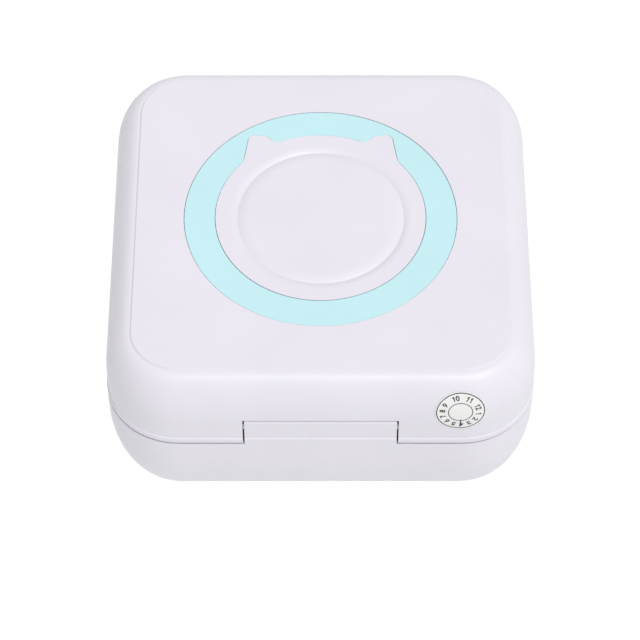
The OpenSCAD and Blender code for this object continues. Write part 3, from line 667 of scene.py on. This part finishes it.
def sticker_sheet():
    """The round film wrapped on the case, closed by a side between its top and bottom."""
    circles, off_case = 6, 0.005 * MM
    bm = bmesh.new()
    rims = []
    for lift in (sticker_t, off_case):
        middle = bm.verts.new(on_sticker(0, 0, lift))
        loops = []
        for circle in range(1, circles + 1):
            r = sticker_r * circle / circles
            loops.append([bm.verts.new(on_sticker(r * math.cos(a), r * math.sin(a), lift))
                          for a in (2 * math.pi * i / circle_turns for i in range(circle_turns))])
        for i in range(circle_turns):
            j = (i + 1) % circle_turns
            bm.faces.new((middle, loops[0][i], loops[0][j]))
            for inner, outer in zip(loops, loops[1:]):
                bm.faces.new((inner[i], outer[i], outer[j], inner[j]))
        rims.append(loops[-1])
    top, bottom = rims
    for i in range(circle_turns):
        j = (i + 1) % circle_turns
        bm.faces.new((top[i], bottom[i], bottom[j], top[j]))
    bmesh.ops.recalc_face_normals(bm, faces=bm.faces)
    placed(to_mesh(bm, "date_sticker_film"), "date_sticker")


def sticker_dial():
    """The dial's two circles, and plain numbers of which 1 to 9 stand closer than 10 to 12."""
    proud = 0.012 * MM
    outer_r, outer_pen = 4.7 * MM, 0.2 * MM
    inner_r, inner_pen = 2.37 * MM, 0.17 * MM
    figure_r, figure_h, figure_pen = 3.58 * MM, 1.02 * MM, 0.22 * MM
    turns = [-10 - 25.2 * k for k in range(9)] + [-253, -298, -340]
    printed = band(outer_r, outer_pen) + band(inner_r, inner_pen)
    for k, turn in enumerate(turns):
        printed += figure(str(k + 1), figure_r, turn, figure_h, figure_pen)
    part_of(wrapped("sticker_dial", printed, sticker_t + proud), "date_sticker", print_ink)


def pen_mark():
    """The short pen stroke with a hook across the lower part of the dial."""
    proud = 0.02 * MM
    line = [(0.0, -2.1), (0.27, -2.1), (0.12, -4.2), (-0.14, -4.35)]  # in millimetres
    hook = [(0.1, -3.1), (0.62, -3.6), (-0.14, -4.35)]
    outlines = [[(u * MM, v * MM) for u, v in outline] for outline in (line, hook)]
    part_of(wrapped("sticker_pen_mark", outlines, sticker_t + proud), "date_sticker", pen_ink)


sticker_sheet()
sticker_dial()
pen_mark()


# ---------------------------------------------------------------- springs

spring_low, spring_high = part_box("head_springs")
spring_r, spring_wire, spring_coils = 1.75 * MM, 0.32 * MM, 6.5


def tube(points, radius, sides=10):
    """A round wire along the points, with flat ends."""
    bm = bmesh.new()
    loops = []
    across = None
    for i, p in enumerate(points):
        way = (points[min(i + 1, len(points) - 1)] - points[max(i - 1, 0)]).normalized()
        across = (across - way * across.dot(way) if across else way.orthogonal()).normalized()
        other = way.cross(across)
        loops.append([bm.verts.new(p + radius * (math.cos(a) * across + math.sin(a) * other))
                      for a in (2 * math.pi * k / sides for k in range(sides))])
    for one, two in zip(loops, loops[1:]):
        for k in range(sides):
            j = (k + 1) % sides
            bm.faces.new((one[k], one[j], two[j], two[k]))
    bm.faces.new(loops[0][::-1])
    bm.faces.new(loops[-1])
    bmesh.ops.recalc_face_normals(bm, faces=bm.faces)
    return bm


def coil_points(x, z, length):
    """The middle of one spring's wire, with its turns closer together at both ends."""
    steps = 24  # for each turn
    even, eased, flat_end = 0.7, 0.3, 0.08
    r = spring_r - spring_wire / 2
    points = []
    for i in range(int(spring_coils * steps) + 1):
        turn = i / steps
        share = turn / spring_coils
        middle = min(1, max(0, (share - flat_end) / (1 - 2 * flat_end)))
        wave = 0.5 - 0.5 * math.cos(math.pi * middle)
        a = 2 * math.pi * turn
        y = spring_low[1] + spring_wire / 2 + (length - spring_wire) * (eased * wave + even * share)
        points.append(Vector((x + r * math.cos(a), y, z + r * math.sin(a))))
    return points


def head_springs():
    """Two coiled springs that press the print head on the roller."""
    z = (spring_low[2] + spring_high[2]) / 2
    length = spring_high[1] - spring_low[1]
    whole = bmesh.new()
    for side in (-1, 1):
        x = side * (spring_high[0] - spring_r)
        coil = to_mesh(tube(coil_points(x, z, length), spring_wire / 2), "coil")
        whole.from_mesh(coil)
        bpy.data.meshes.remove(coil)
    piece = placed(to_mesh(whole, "head_springs_coiled", smooth=True), "head_springs")
    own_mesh(piece)


head_springs()


# ---------------------------------------------------------------- print head's face

head_low, head_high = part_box("print_head")
platen_low, platen_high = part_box("platen_roller")
heater_z = (platen_low[2] + platen_high[2]) / 2
ridge_h = 0.03 * MM


def heater_ridge():
    """The low glazed ridge across the head's face, level with the roller."""
    steps = 8
    ridge_half, end = 0.9 * MM, head_high[0] - 1.2 * MM
    form = [(head_low[1] - ridge_h * math.sin(math.pi * k / steps),
             heater_z - ridge_half * math.cos(math.pi * k / steps)) for k in range(steps + 1)]
    ends = [[(x, y, z) for y, z in form] for x in (-end, end)]
    part_of(slabs("heater_ridge", [ends]), "print_head", ridge_glaze)


def heater_dots():
    """The row of heating dots along the ridge."""
    dots, pitch, half_x, half_z, proud = 96, 0.5 * MM, 0.16 * MM, 0.09 * MM, 0.004 * MM
    back, front = head_low[1] - 0.5 * ridge_h, head_low[1] - ridge_h - proud
    pairs = []
    for k in range(dots):
        x = (k - (dots - 1) / 2) * pitch
        corners = [(x - half_x, heater_z - half_z), (x + half_x, heater_z - half_z),
                   (x + half_x, heater_z + half_z), (x - half_x, heater_z + half_z)]
        pairs.append([[(u, y, w) for u, w in corners] for y in (back, front)])
    part_of(slabs("heater_dots", pairs), "print_head", brass)


heater_ridge()
heater_dots()


# ---------------------------------------------------------------- lips in the split

def slot_lips():
    """The rear cover's lips in the split, beyond the paper's slot, so that no light shows through."""
    lid_gap, hold = 0.15 * MM, 0.1 * MM
    lip_out, lip_in, lip_top, paper_gap = 0.8 * MM, 1.8 * MM, 19.6 * MM, 2 * MM
    steps = 12
    near, far = float(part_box("lid")[1][1]) + lid_gap, float(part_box("rear_cover")[0][1]) + hold

    def line(inset):
        """Points on the case's outline at the split, moved inwards, from the slot's end up the side."""
        points = [(float(roll_high[0]) + paper_gap, inset)]
        for k in range(steps + 1):
            a = math.pi / 2 * k / steps
            points.append((half_w - base_in + (base_in - inset) * math.sin(a),
                           base_rise - (base_rise - inset) * math.cos(a)))
        return points + [(half_w - inset, lip_top)]

    outer, inner = line(lip_out), line(lip_in)
    pairs = []
    for side in (-1, 1):
        for quad in zip(outer, outer[1:], inner[1:], inner):
            pairs.append(([(side * x, near, z) for x, z in quad], [(side * x, far, z) for x, z in quad]))
    part_of(slabs("slot_lips", pairs), "rear_cover", case_plastic)


slot_lips()

for name, node in frame["nodes"].items():
    for place in node.material_slots:
        place.material = FINISHES[name]


# ---------------------------------------------------------------- camera, light and stage

# The photograph's width and focal length in pixels, and the sensor's width in millimetres
PHOTO_WIDTH, FOCAL_PIXELS = 640, 2741.17
SENSOR_WIDTH = 36


def look_at(obj, target):
    """Turns a camera or light towards the target."""
    obj.rotation_euler = (Vector(target) - obj.location).to_track_quat("-Z", "Y").to_euler()


def photo_camera():
    """The camera of the photograph: the printer seen from the hinge side and above."""
    pitch = math.radians(53.576)
    distance = 587.77 * MM
    target = Vector((-0.111, 2.473, 0)) * MM
    data = bpy.data.cameras.new("camera")
    data.sensor_width = SENSOR_WIDTH
    data.lens = SENSOR_WIDTH * FOCAL_PIXELS / PHOTO_WIDTH
    data.clip_start, data.clip_end = 0.01, 10
    camera = bpy.data.objects.new("camera", data)
    camera.location = target + distance * Vector((0, -math.cos(pitch), math.sin(pitch)))
    look_at(camera, target)
    bpy.context.collection.objects.link(camera)
    bpy.context.scene.camera = camera


def soft_sun():
    """Broad light from above, from the right and a little from the front."""
    data = bpy.data.lights.new("sun", "SUN")
    data.energy = 1.79
    data.angle = math.radians(30)
    sun = bpy.data.objects.new("sun", data)
    sun.location = Vector((0.26, -0.33, 0.91))
    look_at(sun, (0, 0, 0))
    bpy.context.collection.objects.link(sun)


def stage():
    """A plain pale floor, well below so that the lid can swing down."""
    half, level = 6, -0.6
    mesh = bpy.data.meshes.new("floor")
    mesh.from_pydata([(-half, -half, level), (half, -half, level), (half, half, level), (-half, half, level)],
                     [], [(0, 1, 2, 3)])
    mesh.materials.append(plastic("floor_white", (0.915, 0.915, 0.915), 0.9, grain=20 * MM, vary=0.002))
    floor = bpy.data.objects.new("floor", mesh)
    bpy.context.collection.objects.link(floor)


def room():
    """White light from all round, weaker from the left, shown without a film's curve."""
    left, right = 0.50, 0.66
    world = bpy.data.worlds.new("room")
    world.use_nodes = True
    nodes = world.node_tree.nodes
    nodes["Background"].inputs["Color"].default_value = (1, 1, 1, 1)
    coords = nodes.new("ShaderNodeTexCoord")
    split = nodes.new("ShaderNodeSeparateXYZ")
    link(world, coords.outputs["Generated"], split.inputs["Vector"])
    strength = map_range(world, split.outputs["X"], (-1, 0), left, right)
    link(world, strength, nodes["Background"].inputs["Strength"])
    bpy.context.scene.world = world
    bpy.context.scene.view_settings.view_transform = "Standard"


photo_camera()
stage()
room()
soft_sun()
